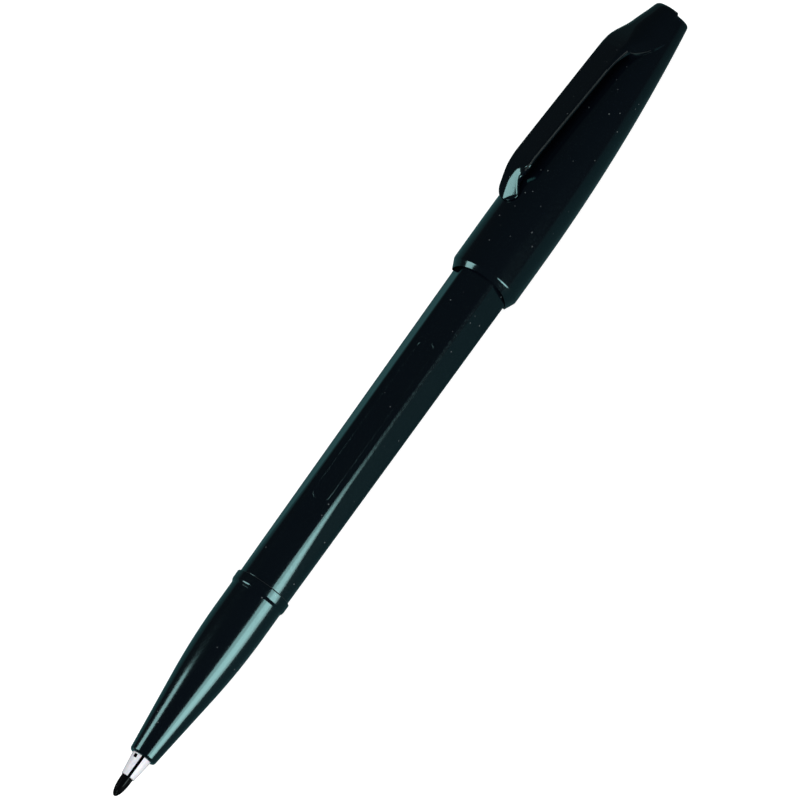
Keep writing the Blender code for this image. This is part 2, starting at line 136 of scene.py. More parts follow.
def places_on(tree):
    """A socket with the places on the piece, in metres."""
    return tree.nodes.new("ShaderNodeTexCoord").outputs["Object"]


def grain(tree, scale, detail, stretch=(1, 1, 1)):
    """A noise pattern as a socket from 0 to 1. Stretch below 1 draws it out on that axis."""
    mapping = tree.nodes.new("ShaderNodeMapping")
    mapping.inputs["Scale"].default_value = stretch
    tree.links.new(places_on(tree), mapping.inputs["Vector"])
    noise = tree.nodes.new("ShaderNodeTexNoise")
    noise.inputs["Scale"].default_value = scale
    noise.inputs["Detail"].default_value = detail
    tree.links.new(mapping.outputs["Vector"], noise.inputs["Vector"])
    return noise.outputs["Fac"]


def ranged(tree, value, result=(0, 1), source=NOISE_SPAN):
    """The value moved from one range, by default that of most noise, to another."""
    node = tree.nodes.new("ShaderNodeMapRange")
    for end, start, goal in (("Min", source[0], result[0]), ("Max", source[1], result[1])):
        node.inputs["From " + end].default_value = start
        node.inputs["To " + end].default_value = goal
    tree.links.new(value, node.inputs["Value"])
    return node.outputs["Result"]


def two_tones(tree, share, first, second):
    """A colour between two, each a plain colour or a socket, by a share from 0 to 1."""
    node = tree.nodes.new("ShaderNodeMix")
    node.data_type = "RGBA"
    for place, tone in (("A", first), ("B", second)):
        if isinstance(tone, tuple):
            node.inputs[place].default_value = tone
        else:
            tree.links.new(tone, node.inputs[place])
    tree.links.new(share, node.inputs["Factor"])
    return node.outputs["Result"]


def relief(tree, shader, height, depth, strength=0.5):
    """Bumps of this depth in metres on the shader's surface."""
    bump = tree.nodes.new("ShaderNodeBump")
    bump.inputs["Strength"].default_value = strength
    bump.inputs["Distance"].default_value = depth
    tree.links.new(height, bump.inputs["Height"])
    tree.links.new(bump.outputs["Normal"], shader.inputs["Normal"])


def grained_finish(name, tones, roughness, scale, detail, stretch=(1, 1, 1), tones_over=NOISE_SPAN):
    """A finish whose colour and roughness follow one grain. Its nodes, shader and grain come with it."""
    finish, tree, shader = new_finish(name)
    pattern = grain(tree, scale, detail, stretch)
    colour = two_tones(tree, ranged(tree, pattern, source=tones_over), *tones)
    tree.links.new(colour, shader.inputs["Base Color"])
    tree.links.new(ranged(tree, pattern, roughness), shader.inputs["Roughness"])
    return finish, tree, shader, pattern


inked_fibre, tree, shader, strands = grained_finish(
    "inked_fibre",
    tones=(INK_BLACK, INK_FLECK),
    roughness=(0.4, 0.55),
    scale=900,
    detail=4,
    stretch=(0.3, 3, 3),
    tones_over=(0.56, 0.74),
)
shader.inputs["Specular IOR Level"].default_value = INK_SHINE
relief(tree, shader, strands, depth=0.000012)

tip_front, tip_rear = ends_of("fibre_tip")
tip_front -= TIP_PROUD
tip_profile = []
for bend in spread(TIP_FIRST_BEND, math.pi / 2, TIP_POINT_STEPS):
    along = tip_front + TIP_POINT_LENGTH * (1 - math.cos(bend))
    tip_profile.append((along, TIP_RADIUS * math.sin(bend)))
tip_profile.append((tip_rear - TIP_REAR_CHAMFER, TIP_RADIUS))
tip_profile.append((tip_rear, TIP_RADIUS - TIP_REAR_CHAMFER))
tip_rings = [[beside_axis(tip_front, 0, 0)]]
for station, radius in tip_profile:
    ring = []
    for turn in spread(0, math.tau, TIP_AROUND)[:-1]:
        fluted = radius - TIP_FLUTE_DEPTH * radius / TIP_RADIUS * (1 + math.cos(TIP_FLUTES * turn)) / 2
        ring.append(on_pen(station, fluted, turn))
    tip_rings.append(ring)
tip_rings.append([beside_axis(tip_rear, 0, 0)])
tip_bullet = as_piece("tip_bullet", skinned(tip_rings), inked_fibre)
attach(tip_bullet, "pen_body")
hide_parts("fibre_tip")

# Nose
# The pale tip holder, moulded from slightly see-through plastic. Three slits from its front make prongs
# that grip the tip, and a small square vent lets air in. Its shank is pressed into the grip section.
NOSE_HOLE = 0.985
NOSE_FRONT_RADIUS = 1.13
NOSE_RADIUS = 1.625
NOSE_RIM_ROUND = 0.08
NOSE_RIM_STEPS = 4
NOSE_TAPER_STEPS = 8
NOSE_PROUD = 0.15
SECTION_PROUD = 0.15
PRONG_STEPS = 20
SLIT_TURNS_DEG = (21.5, 141.5, 261.5)
SLIT_HALF_WIDTH = 0.24
SLIT_UNDER_SECTION = 0.6
SLIT_STEPS = 3
VENT_TURN_DEG = -21
VENT_HALF_SIZE = 0.3
VENT_BEFORE_MOUTH = 0.46
VENT_STEPS = 5
VENT_ROWS = 3
BEFORE_VENT_STEPS = 12
AFTER_VENT_STEPS = 6
NOSE_WHITE = (0.8, 0.81, 0.85, 1)
NOSE_SHADE = (0.74, 0.75, 0.81, 1)
NOSE_PAINTED_EDGE_SHADE = (0.38, 0.37, 0.43, 1)
NOSE_EDGE_SHADE_FACING = (0.55, 0.92)
NOSE_ROUGHNESS = (0.32, 0.46)
NOSE_GLOW = 0.15
NOSE_GLOW_DEPTH = 0.0004

nose_plastic, tree, shader = new_finish("nose_plastic")
clouds = grain(tree, scale=700, detail=3)
# Towards the nose's outline, where its surface turns away from the view, the colour darkens to grey: a
# painted shade along its edges.
grazing = tree.nodes.new("ShaderNodeLayerWeight")
painted_edge_shade = ranged(tree, grazing.outputs["Facing"], source=NOSE_EDGE_SHADE_FACING)
face = two_tones(tree, ranged(tree, clouds), NOSE_WHITE, NOSE_SHADE)
tree.links.new(two_tones(tree, painted_edge_shade, face, NOSE_PAINTED_EDGE_SHADE), shader.inputs["Base Color"])
tree.links.new(ranged(tree, clouds, NOSE_ROUGHNESS), shader.inputs["Roughness"])
shader.inputs["Subsurface Weight"].default_value = NOSE_GLOW
shader.inputs["Subsurface Scale"].default_value = NOSE_GLOW_DEPTH
relief(tree, shader, grain(tree, scale=3500, detail=2), depth=0.000006)

nose_front, nose_rear = ends_of("tip_holder")
nose_front -= NOSE_PROUD
section_mouth, section_rear = ends_of("grip_section")
section_mouth -= SECTION_PROUD
slit_end = section_mouth + SLIT_UNDER_SECTION
vent_front = section_mouth - VENT_BEFORE_MOUTH - VENT_HALF_SIZE
vent_end = vent_front + 2 * VENT_HALF_SIZE


def nose_radius(station):
    """Outside of the nose: a taper with a rounded rim in front of the section, then a parallel shank."""
    share = min(1.0, (station - nose_front) / (section_mouth - nose_front))
    rim = max(0.0, 1 - (station - nose_front) / NOSE_RIM_ROUND)
    return NOSE_FRONT_RADIUS + (NOSE_RADIUS - NOSE_FRONT_RADIUS) * share - NOSE_RIM_ROUND * rim**2


def nose_columns(station):
    """Turns round the nose at a station, and for each column between two turns what cuts it."""
    radius = nose_radius(station)
    slit = math.asin(SLIT_HALF_WIDTH / radius)
    vent = math.asin(VENT_HALF_SIZE / radius)
    first, second, third = (math.radians(turn) for turn in SLIT_TURNS_DEG)
    vent_turn = math.radians(VENT_TURN_DEG)
    bands = [
        (third - math.tau + slit, vent_turn - vent, BEFORE_VENT_STEPS, ""),
        (vent_turn - vent, vent_turn + vent, VENT_STEPS, "vent"),
        (vent_turn + vent, first - slit, AFTER_VENT_STEPS, ""),
        (first - slit, first + slit, SLIT_STEPS, "slit"),
        (first + slit, second - slit, PRONG_STEPS, ""),
        (second - slit, second + slit, SLIT_STEPS, "slit"),
        (second + slit, third - slit, PRONG_STEPS, ""),
        (third - slit, third + slit, SLIT_STEPS, "slit"),
    ]
    turns = []
    cuts = []
    for start, stop, steps, cut in bands:
        turns += spread(start, stop, steps)[:-1]
        cuts += [cut] * steps
    return turns, cuts


def is_cut(cut, start, stop):
    """True where a slit or the vent goes through the wall between two stations."""
    if cut == "slit":
        return stop <= slit_end + TINY
    return cut == "vent" and start >= vent_front - TINY and stop <= vent_end + TINY


nose_stations = spread(nose_front, nose_front + NOSE_RIM_ROUND, NOSE_RIM_STEPS)
nose_stations += spread(nose_front + NOSE_RIM_ROUND, vent_front, NOSE_TAPER_STEPS)[1:]
nose_stations += spread(vent_front, vent_end, VENT_ROWS)[1:]
nose_stations += [section_mouth, slit_end, nose_rear]
nose_cuts = nose_columns(nose_front)[1]
columns = len(nose_cuts)
rows = len(nose_stations) - 1
bm = bmesh.new()
outside = []
inside = []
for station in nose_stations:
    turns = nose_columns(station)[0]
    outside.append([bm.verts.new(on_pen(station, nose_radius(station), turn)) for turn in turns])
    inside.append([bm.verts.new(on_pen(station, NOSE_HOLE, turn)) for turn in turns])
walled = set()
for row in range(rows):
    for column in range(columns):
        if not is_cut(nose_cuts[column], nose_stations[row], nose_stations[row + 1]):
            walled.add((row, column))
for row, column in sorted(walled):
    after = (column + 1) % columns
    for skin in (outside, inside):
        bm.faces.new((skin[row][column], skin[row][after], skin[row + 1][after], skin[row + 1][column]))
    neighbours = [
        ((row - 1, column), (row, column), (row, after)),
        ((row + 1, column), (row + 1, column), (row + 1, after)),
        ((row, (column - 1) % columns), (row, column), (row + 1, column)),
        ((row, after), (row, after), (row + 1, after)),
    ]
    for neighbour, (row_a, column_a), (row_b, column_b) in neighbours:
        if neighbour not in walled:
            side = bm.faces.new((
                outside[row_a][column_a],
                outside[row_b][column_b],
                inside[row_b][column_b],
                inside[row_a][column_a],
            ))
            # The walls of the slits and the vent take the second, black finish, a painted shade that keeps
            # these narrow openings dark.
            if 0 <= neighbour[0] < rows:
                side.material_index = 1
bmesh.ops.delete(bm, geom=[vertex for vertex in bm.verts if not vertex.link_faces], context="VERTS")
nose_prongs = as_piece("nose_prongs", bm, nose_plastic)
nose_prongs.data.materials.append(inked_fibre)
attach(nose_prongs, "pen_body")
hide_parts("tip_holder")

# Grip section
# The tapered front that the fingers hold, moulded in polished black plastic. A raised collar ends it,
# and a spigot behind the collar is pressed into the barrel. The nose sits in its mouth.
MOUTH_RADIUS = 2.245
MOUTH_BORE = 1.7
LIP_ROUND = 0.5
LIP_STEPS = 6
CONE_LENGTH = 13.5
CONE_STEPS = 10
EASE_LENGTH = 12.5
EASE_STEPS = 14
GRIP_RADIUS = 4.5
GRIP_PARALLEL_LEAD = 0.5
COLLAR_RADIUS = 4.76
COLLAR_FROM_MOUTH = 30.3
COLLAR_WIDTH = 2.0
COLLAR_FRONT_RAMP = 0.52
COLLAR_FRONT_ROUND = 0.75
COLLAR_FOOT_ROUND = 0.06
COLLAR_REAR_ROUND = 0.05
SPIGOT_RADIUS = 3.7
SPIGOT_BORE = 3.0
SPIGOT_BORE_FUNNEL = 8.0
SPIGOT_CHAMFER = 0.3
SECTION_AROUND = 144
PLASTIC_BLACK = (0.0015, 0.0024, 0.0048, 1)
PLASTIC_DUST = (0.078, 0.092, 0.096, 1)
PLASTIC_ROUGHNESS = (0.1, 0.17)
PLASTIC_SHINE = 0.77
PLASTIC_SHINE_TINT = (0.52, 1.0, 1.0, 1)
SPECK_CELLS = 900
SPECK_SIZE = (0.07, 0.13)
SPECK_RARITY = (0.725, 0.765)


def rounded_profile(profile, rounds, steps=5):
    """Points of (station, radius), with an arc at each corner whose index has a radius in rounds."""
    result = []
    for index, corner in enumerate(profile):
        if index not in rounds:
            result.append(corner)
            continue
        here = Vector(corner)
        back = (Vector(profile[index - 1]) - here).normalized()
        ahead = (Vector(profile[index + 1]) - here).normalized()
        half = math.acos(max(-1.0, min(1.0, back.dot(ahead)))) / 2
        centre = here + (back + ahead).normalized() * rounds[index] / math.sin(half)
        start = here + back * rounds[index] / math.tan(half) - centre
        stop = here + ahead * rounds[index] / math.tan(half) - centre
        for share in spread(0, 1, steps):
            arm = start.lerp(stop, share).normalized() * rounds[index]
            result.append(tuple(centre + arm))
    return result


def turned_rings(profile, count):
    """A ring of points for each point of a profile, or one point where the profile meets the axis."""
    rings = []
    for station, radius in profile:
        if radius < TINY:
            rings.append([beside_axis(station, 0, 0)])
        else:
            rings.append([on_pen(station, radius, turn) for turn in spread(0, math.tau, count)[:-1]])
    return rings


def worked_out(tree, operation, *values):
    """The result of a Math node, whose values are numbers or sockets."""
    node = tree.nodes.new("ShaderNodeMath")
    node.operation = operation
    for place, value in zip(node.inputs, values):
        if isinstance(value, (int, float)):
            place.default_value = value
        else:
            tree.links.new(value, place)
    return node.outputs["Value"]


# The polish has a cool shine, faint waviness from the mould, haze and a few specks of dust.
black_plastic, tree, shader = new_finish("black_plastic")
cells = tree.nodes.new("ShaderNodeTexVoronoi")
cells.inputs["Scale"].default_value = SPECK_CELLS
tree.links.new(places_on(tree), cells.inputs["Vector"])
near_speck = ranged(tree, cells.outputs["Distance"], (1, 0), SPECK_SIZE)
rare_cell = ranged(tree, cells.outputs["Color"], source=SPECK_RARITY)
speck = worked_out(tree, "MULTIPLY", near_speck, rare_cell)
tree.links.new(two_tones(tree, speck, PLASTIC_BLACK, PLASTIC_DUST), shader.inputs["Base Color"])
haze = grain(tree, scale=2600, detail=5)
tree.links.new(ranged(tree, haze, PLASTIC_ROUGHNESS), shader.inputs["Roughness"])
shader.inputs["Specular IOR Level"].default_value = PLASTIC_SHINE
shader.inputs["Specular Tint"].default_value = PLASTIC_SHINE_TINT
relief(tree, shader, grain(tree, scale=5200, detail=2), depth=0.000006)

cone_end = section_mouth + CONE_LENGTH
ease_end = cone_end + EASE_LENGTH
cone_slope = (GRIP_RADIUS - MOUTH_RADIUS) / (CONE_LENGTH + EASE_LENGTH / 2)
collar_front = section_mouth + COLLAR_FROM_MOUTH
collar_rear = collar_front + COLLAR_WIDTH


def grip_radius(station):
    """Outside of the grip: a straight cone from the mouth, eased into the parallel part."""
    easing = max(0.0, station - cone_end) ** 2 / (2 * EASE_LENGTH)
    return MOUTH_RADIUS + cone_slope * (station - section_mouth - easing)


lip_rear = section_mouth + LIP_ROUND
lip = []
for bend in spread(0, math.pi / 2, LIP_STEPS):
    along = section_mouth + LIP_ROUND * (1 - math.sin(bend))
    lip.append((along, grip_radius(lip_rear) - LIP_ROUND * (1 - math.cos(bend))))
grip_stations = spread(lip_rear, cone_end, CONE_STEPS)[1:] + spread(cone_end, ease_end, EASE_STEPS)[1:]
section_profile = [(station, grip_radius(station)) for station in reversed(grip_stations)]
section_profile += lip
section_profile += [(section_mouth, MOUTH_BORE), (nose_rear, MOUTH_BORE)]
section_profile += [(nose_rear + SPIGOT_BORE_FUNNEL, SPIGOT_BORE), (section_rear, SPIGOT_BORE)]
collar_profile = rounded_profile(
    [
        (section_rear, SPIGOT_RADIUS - SPIGOT_CHAMFER),
        (section_rear - SPIGOT_CHAMFER, SPIGOT_RADIUS),
        (collar_rear, SPIGOT_RADIUS),
        (collar_rear, COLLAR_RADIUS),
        (collar_rear - 2 * COLLAR_REAR_ROUND, COLLAR_RADIUS),
        (collar_front + COLLAR_FRONT_RAMP, COLLAR_RADIUS),
        (collar_front, GRIP_RADIUS),
        (ease_end + GRIP_PARALLEL_LEAD, GRIP_RADIUS),
    ],
    {3: COLLAR_REAR_ROUND, 5: COLLAR_FRONT_ROUND, 6: COLLAR_FOOT_ROUND},
)
grip_cone = as_piece(
    "grip_cone",
    skinned(turned_rings(collar_profile + section_profile, SECTION_AROUND), joined_ends=True),
    black_plastic,
)
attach(grip_cone, "pen_body")
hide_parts("grip_section")

# Ink reservoir and its wrap
# A bundle of soft fibres soaked with black ink, in a sleeve of thin clear film. It is slid into the
# barrel from behind, and the tip pierces its front. Both are hidden, so the CAD solids stay.
SOAKED_DARK = (0.008, 0.008, 0.011, 1)
SOAKED_LIGHT = (0.028, 0.028, 0.035, 1)
FILM_CLEAR = (0.8, 0.8, 0.82, 1)
FILM_MILKY = (0.7, 0.71, 0.74, 1)
FILM_SEEN = 0.35

soaked_fibre, tree, shader, strands = grained_finish(
    "soaked_fibre",
    tones=(SOAKED_DARK, SOAKED_LIGHT),
    roughness=(0.6, 0.9),
    scale=700,
    detail=5,
    stretch=(0.08, 6, 6),
)
relief(tree, shader, strands, depth=0.00006, strength=0.8)
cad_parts["ink_reservoir"].material_slots[0].material = soaked_fibre

clear_film, _, shader, _ = grained_finish(
    "clear_film",
    tones=(FILM_CLEAR, FILM_MILKY),
    roughness=(0.12, 0.3),
    scale=260,
    detail=2,
    stretch=(0.3, 1, 1),
)
shader.inputs["Alpha"].default_value = FILM_SEEN
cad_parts["reservoir_wrap"].material_slots[0].material = clear_film

# Barrel
# The long tube, moulded in the same polished black plastic: nearly round at the collar, and running out
# into six clean flats towards the rear. Behind a shoulder a thinner round tail takes the plug.
FLAT_AT_FRONT = 4.14
FLAT_DRAFT = 0.0056
ROUND_FRONT_EXTRA = 0.26
BARREL_BORE = 3.8
BARREL_STEPS = 48
FRONT_CORNER = 4.067
REAR_CORNER = 1.3
SMALLEST_CORNER = 0.2
CORNER_FADE = 13.0
CORNER_FADE_POWER = 1.5
CORNER_STEPS = 12
FRONT_EDGE_ROUND = 0.16
BARREL_GROOVE = 0.03
HEX_LENGTH = 71.3
SHOULDER_ROUND = 0.22
EDGE_STEPS = 4
TAIL_RADIUS = 4.0
TAIL_BORE = 3.5
TAIL_BORE_FUNNEL = 1.5
TAIL_CHAMFER = 0.15
EDGE_WEAR_AND_HIGHLIGHT_DARK = (0.013, 0.018, 0.019, 1)
EDGE_WEAR_AND_HIGHLIGHT_GREY = (0.024, 0.031, 0.032, 1)
EDGE_WEAR_AND_HIGHLIGHT_SHINE = 0.2
WORN_WIDTH = 0.1
HALF_SIDE = math.pi / 6

barrel_front, barrel_rear = ends_of("barrel")
barrel_start = collar_rear + BARREL_GROOVE
shoulder = barrel_front + HEX_LENGTH


def hexagon(station):
    """How far the flats lie from the axis, and the corners' radius, which shrinks behind the collar."""
    run = max(0.0, station - barrel_front)
    roundness = math.exp(-((run / CORNER_FADE) ** CORNER_FADE_POWER))
    flat = FLAT_AT_FRONT + FLAT_DRAFT * run + ROUND_FRONT_EXTRA * roundness
    return flat, REAR_CORNER + (FRONT_CORNER - REAR_CORNER) * roundness


def six_sided(station, inset=0.0):
    """A ring with six flats, one on top, and arcs at its corners."""
    flat, corner = hexagon(station)
    corner = max(SMALLEST_CORNER, corner - inset)
    reach = (flat - inset - corner) / math.cos(HALF_SIDE)
    ring = []
    for side in range(6):
        middle = HALF_SIDE * (2 * side + 1)
        for turn in spread(middle - HALF_SIDE, middle + HALF_SIDE, CORNER_STEPS):
            up = reach * math.cos(middle) + corner * math.cos(turn)
            aside = reach * math.sin(middle) + corner * math.sin(turn)
            ring.append(beside_axis(station, up, aside))
    return ring


def even_ring(station, radius):
    """A round ring with as many points as the six-sided one."""
    count = 6 * (CORNER_STEPS + 1)
    return [on_pen(station, radius, math.tau * (step + 0.5) / count) for step in range(count)]


# A matte grey edge finish: real wear and dust on the barrel's front edge, and a painted highlight where it
# lines the clip's near edge and the head's crest.
worn_and_painted_highlight_edge, _, shader, _ = grained_finish(
    "worn_and_painted_highlight_edge",
    tones=(EDGE_WEAR_AND_HIGHLIGHT_DARK, EDGE_WEAR_AND_HIGHLIGHT_GREY),
    roughness=(0.55, 0.7),
    scale=1500,
    detail=3,
)
shader.inputs["Specular IOR Level"].default_value = EDGE_WEAR_AND_HIGHLIGHT_SHINE

barrel_rings = []
for bend in spread(0, math.pi / 2, EDGE_STEPS):
    inset = FRONT_EDGE_ROUND * (1 - math.sin(bend))
    barrel_rings.append(six_sided(barrel_start + FRONT_EDGE_ROUND * (1 - math.cos(bend)), inset))
for station in spread(barrel_start + FRONT_EDGE_ROUND, shoulder - SHOULDER_ROUND, BARREL_STEPS)[1:-1]:
    barrel_rings.append(six_sided(station))
for bend in spread(0, math.pi / 2, EDGE_STEPS):
    inset = SHOULDER_ROUND * (1 - math.cos(bend))
    barrel_rings.append(six_sided(shoulder - SHOULDER_ROUND * (1 - math.sin(bend)), inset))
barrel_rings += [
    even_ring(shoulder, TAIL_RADIUS),
    even_ring(barrel_rear - TAIL_CHAMFER, TAIL_RADIUS),
    even_ring(barrel_rear, TAIL_RADIUS - TAIL_CHAMFER),
    even_ring(barrel_rear, TAIL_BORE),
    even_ring(shoulder, TAIL_BORE),
    even_ring(shoulder - TAIL_BORE_FUNNEL, BARREL_BORE),
    even_ring(barrel_start, BARREL_BORE),
]
barrel_tube = as_piece(
    "barrel_tube", skinned(barrel_rings, joined_ends=True), black_plastic, crease_deg=32
)
barrel_tube.data.materials.append(worn_and_painted_highlight_edge)
for face in barrel_tube.data.polygons:
    if face.center.x < TIP_FRONT_X + (barrel_start + WORN_WIDTH) * MM:
        face.material_index = 1
barrel_tube.modifiers.new("flats_stay_flat", "WEIGHTED_NORMAL").keep_sharp = True
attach(barrel_tube, "pen_body")
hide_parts("barrel")

# Panel line
# A fine raised line of the barrel's own plastic, moulded with it. It frames a long bare panel with
# round ends on the barrel's top flat.
PANEL_FROM_COLLAR = 15.4
PANEL_LENGTH = 30.0
PANEL_HALF_WIDTH = 1.42
PANEL_BEND_STEPS = 20
PANEL_SIDE_STEPS = 12
PANEL_LINE_HALF_WIDTH = 0.07
PANEL_LINE_HEIGHT = 0.035
PANEL_LINE_AROUND = 10


def top_flat_height(station, aside):
    """How high the barrel's surface lies above the pen's axis beside the middle of the top flat."""
    flat, corner = hexagon(station)
    flat_edge = (flat - corner) * math.tan(HALF_SIDE)
    past_flat = max(0.0, abs(aside) - flat_edge)
    return flat - corner + math.sqrt(max(0.0, corner**2 - past_flat**2))


panel_front = collar_rear + PANEL_FROM_COLLAR
front_bend = panel_front + PANEL_HALF_WIDTH
rear_bend = panel_front + PANEL_LENGTH - PANEL_HALF_WIDTH
panel_path = []
for here, across, start in ((front_bend, rear_bend, math.pi / 2), (rear_bend, front_bend, -math.pi / 2)):
    for bend in spread(start, start + math.pi, PANEL_BEND_STEPS):
        station = here + PANEL_HALF_WIDTH * math.cos(bend)
        panel_path.append((station, PANEL_HALF_WIDTH * math.sin(bend), bend))
    for station in spread(here, across, PANEL_SIDE_STEPS)[1:-1]:
        panel_path.append((station, -PANEL_HALF_WIDTH * math.sin(start), -start))
panel_rings = []
for station, aside, bend in panel_path:
    ring = []
    for round_turn in spread(0, math.tau, PANEL_LINE_AROUND)[:-1]:
        out = PANEL_LINE_HALF_WIDTH * math.cos(round_turn)
        place = station + out * math.cos(bend)
        beside = aside + out * math.sin(bend)
        rise = PANEL_LINE_HEIGHT * math.sin(round_turn)
        ring.append(beside_axis(place, top_flat_height(place, beside) + rise, beside))
    panel_rings.append(ring)
panel_line = as_piece("panel_line", skinned(panel_rings, joined_ends=True), black_plastic)
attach(panel_line, "pen_body")

# Tail plug
# A black plastic stopper with a dimple in its end. It is pressed into the barrel's tail once the ink
# is in, and its flange covers the tail's end.
PLUG_FLANGE = 1.0
PLUG_FLANGE_ROUND = 0.05
PLUG_END_ROUND = 0.3
PLUG_STEM = 3.4
PLUG_STEM_TAPER = 0.5
PLUG_DIMPLE = 1.1
PLUG_DIMPLE_DEPTH = 0.25
PLUG_DIMPLE_ROUND = 0.1
PLUG_AROUND = 96

plug_front, plug_rear = ends_of("tail_plug")
plug_profile = rounded_profile(
    [
        (plug_rear - PLUG_DIMPLE_DEPTH, 0),
        (plug_rear - PLUG_DIMPLE_DEPTH, PLUG_DIMPLE),
        (plug_rear, PLUG_DIMPLE + PLUG_DIMPLE_DEPTH),
        (plug_rear, TAIL_RADIUS),
        (plug_rear - PLUG_FLANGE, TAIL_RADIUS),
        (plug_rear - PLUG_FLANGE, PLUG_STEM),
        (plug_front + PLUG_STEM_TAPER, PLUG_STEM),
        (plug_front, PLUG_STEM - PLUG_STEM_TAPER),
        (plug_front, 0),
    ],
    {1: PLUG_DIMPLE_ROUND, 2: PLUG_DIMPLE_ROUND, 3: PLUG_END_ROUND, 4: PLUG_FLANGE_ROUND},
)
tail_stopper = as_piece("tail_stopper", skinned(turned_rings(plug_profile, PLUG_AROUND)), black_plastic)
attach(tail_stopper, "pen_body")
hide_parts("tail_plug")

# Cap
# A deep black cup, moulded in one with its clip and pushed here onto the rear of the barrel. A short
# cone draws its mouth in, its body tapers to a small flat end, and on one side a head carries the clip.
CAP_RADIUS = 5.875
CAP_BORE = 5.115
CAP_WALL = 0.76
CAP_CAVITY_STEPS = 16
CAP_BODY_STEPS = 26
CAP_AROUND = 240
BORE_BEHIND_SHOULDER = 1.0
MOUTH_SLANT = 0.2
MOUTH_DIP = 1.05
MOUTH_DIP_POWER = 3
MOUTH_DIP_TURN = math.radians(17)
MOUTH_BACK = 0.35
MOUTH_EDGE_SHARE = 0.05
LIP_CONE_LENGTH = 1.55
LIP_CONE_SLOPE = 0.46
LIP_CONE_SWELL = 0.5
LIP_CONE_STEPS = 28
LIP_BEND = 0.11
LIP_SWELL_TURN = math.radians(42)
LIP_END = 3.6
CAP_PARALLEL = 9.0
CAP_END_RADIUS = 2.7
CAP_END_ROUND = 0.55
CAP_END_ROUND_STEPS = 8
CAP_END_WALL = 2.5
CAP_END_MIDDLE = 1.2
CLIP_TURN = math.radians(-35)
CLIP_ROOM_AT_ROOT = 1.2
CLIP_THICKNESS = 1.4
CLIP_ROOT_HALF_WIDTH = 2.9
CLIP_EDGE_ROUND = 0.36
CLIP_BACK_RISE = 0.0708
CLIP_TO_HEAD_GAP = 0.2
HEAD_LENGTH = 9.1
HEAD_END_TOP = 3.3
HEAD_SLOPE_POWER = 1.5
HEAD_SLOPE_AHEAD = 1.0
HEAD_HALF_WIDTH = 3.25
HEAD_EDGE_ROUND = 0.95
HEAD_MERGE_SHARE = 0.5
HEAD_MERGED_WIDTH = 0.93
HEAD_MERGED_ROUND = 0.9
HEAD_BEFORE_ROOT = 0.4
HEAD_WALL_TURN_DEG = 26
HEAD_WALL_SWEEP = 0.11
HEAD_WALL_SWEEP_DEG = 62
HEAD_WALL_SWEEP_SOFT_DEG = 10
HEAD_WALL_RAMP = 0.35
HEAD_WALL_SOFTENING = 0.4
HEAD_APPROACH = 2.0
HEAD_CREST_HIGHLIGHT_FROM = 1.85
HEAD_CREST_HIGHLIGHT_DEG = (28, 54)
HEAD_END_PROUD = 0.35
HEAD_END_PROUD_LENGTH = 2.0
HEAD_END_TURN_DEG = 59
HEAD_END_TURN_SOFT_DEG = 8
GATE_MARK_FOOT = 0.6
GATE_MARK_RADIUS = 0.45
GATE_MARK_HOLLOW = 0.3
GATE_MARK_HEIGHT = 0.1

cap_mouth, cap_rear = ends_of("cap_shell")
taper_start = cap_mouth + CAP_PARALLEL
head_front = cap_rear - HEAD_LENGTH
cavity_rear = cap_rear - CAP_END_WALL


def cap_radius(station):
    """Outside of the cap's round body: parallel from the mouth, then tapering ever faster."""
    run = max(0.0, station - taper_start) / (cap_rear - taper_start)
    return CAP_RADIUS - (CAP_RADIUS - CAP_END_RADIUS) * run**2


def smooth_share(value):
    """The value kept between 0 and 1 and eased at both ends."""
    value = min(1.0, max(0.0, value))
    return value * value * (3 - 2 * value)


def turn_from_clip(turn):
    """A turn about the pen measured from the clip's middle, within half a turn to either side."""
    return (turn - CLIP_TURN + math.pi) % math.tau - math.pi


clip_root = head_front - CLIP_TO_HEAD_GAP
clip_root_top = cap_radius(clip_root) + CLIP_ROOM_AT_ROOT + CLIP_THICKNESS
wall_crest = clip_root - HEAD_BEFORE_ROOT


def head_shape(station):
    """Top, half width and edge radius of the head, which carries the clip on and melts into the cap."""
    share = max(0.0, (station - head_front + HEAD_SLOPE_AHEAD) / (HEAD_LENGTH + HEAD_SLOPE_AHEAD))
    top = clip_root_top + (HEAD_END_TOP - clip_root_top) * share**HEAD_SLOPE_POWER
    top += CLIP_BACK_RISE * max(0.0, clip_root - station)
    merge = smooth_share((station - head_front) / (HEAD_LENGTH * HEAD_MERGE_SHARE))
    half_width = HEAD_HALF_WIDTH + (HEAD_MERGED_WIDTH * cap_radius(station) - HEAD_HALF_WIDTH) * merge
    edge = HEAD_EDGE_ROUND + (HEAD_MERGED_ROUND * min(top, half_width) - HEAD_EDGE_ROUND) * merge
    return top, half_width, edge


def head_reach(station, turn):
    """How far the head reaches at a turn from the clip: flat top, round edge, then a flank on the body."""
    top, half_width, edge = head_shape(station)
    body = cap_radius(station)
    up = top - edge
    aside = half_width - edge
    away = abs(turn)
    flank = math.atan2(aside, up) + math.acos((body - edge) / math.hypot(up, aside))
    edge_end = math.atan2(aside + edge * math.sin(flank), up + edge * math.cos(flank))
    if away >= flank:
        return body
    if away > edge_end:
        return body / math.cos(away - flank)
    if top * math.sin(away) <= aside * math.cos(away):
        return top / math.cos(away)
    ahead = up * math.cos(away) + aside * math.sin(away)
    return ahead + math.sqrt(max(0.0, ahead**2 - up**2 - aside**2 + edge**2))


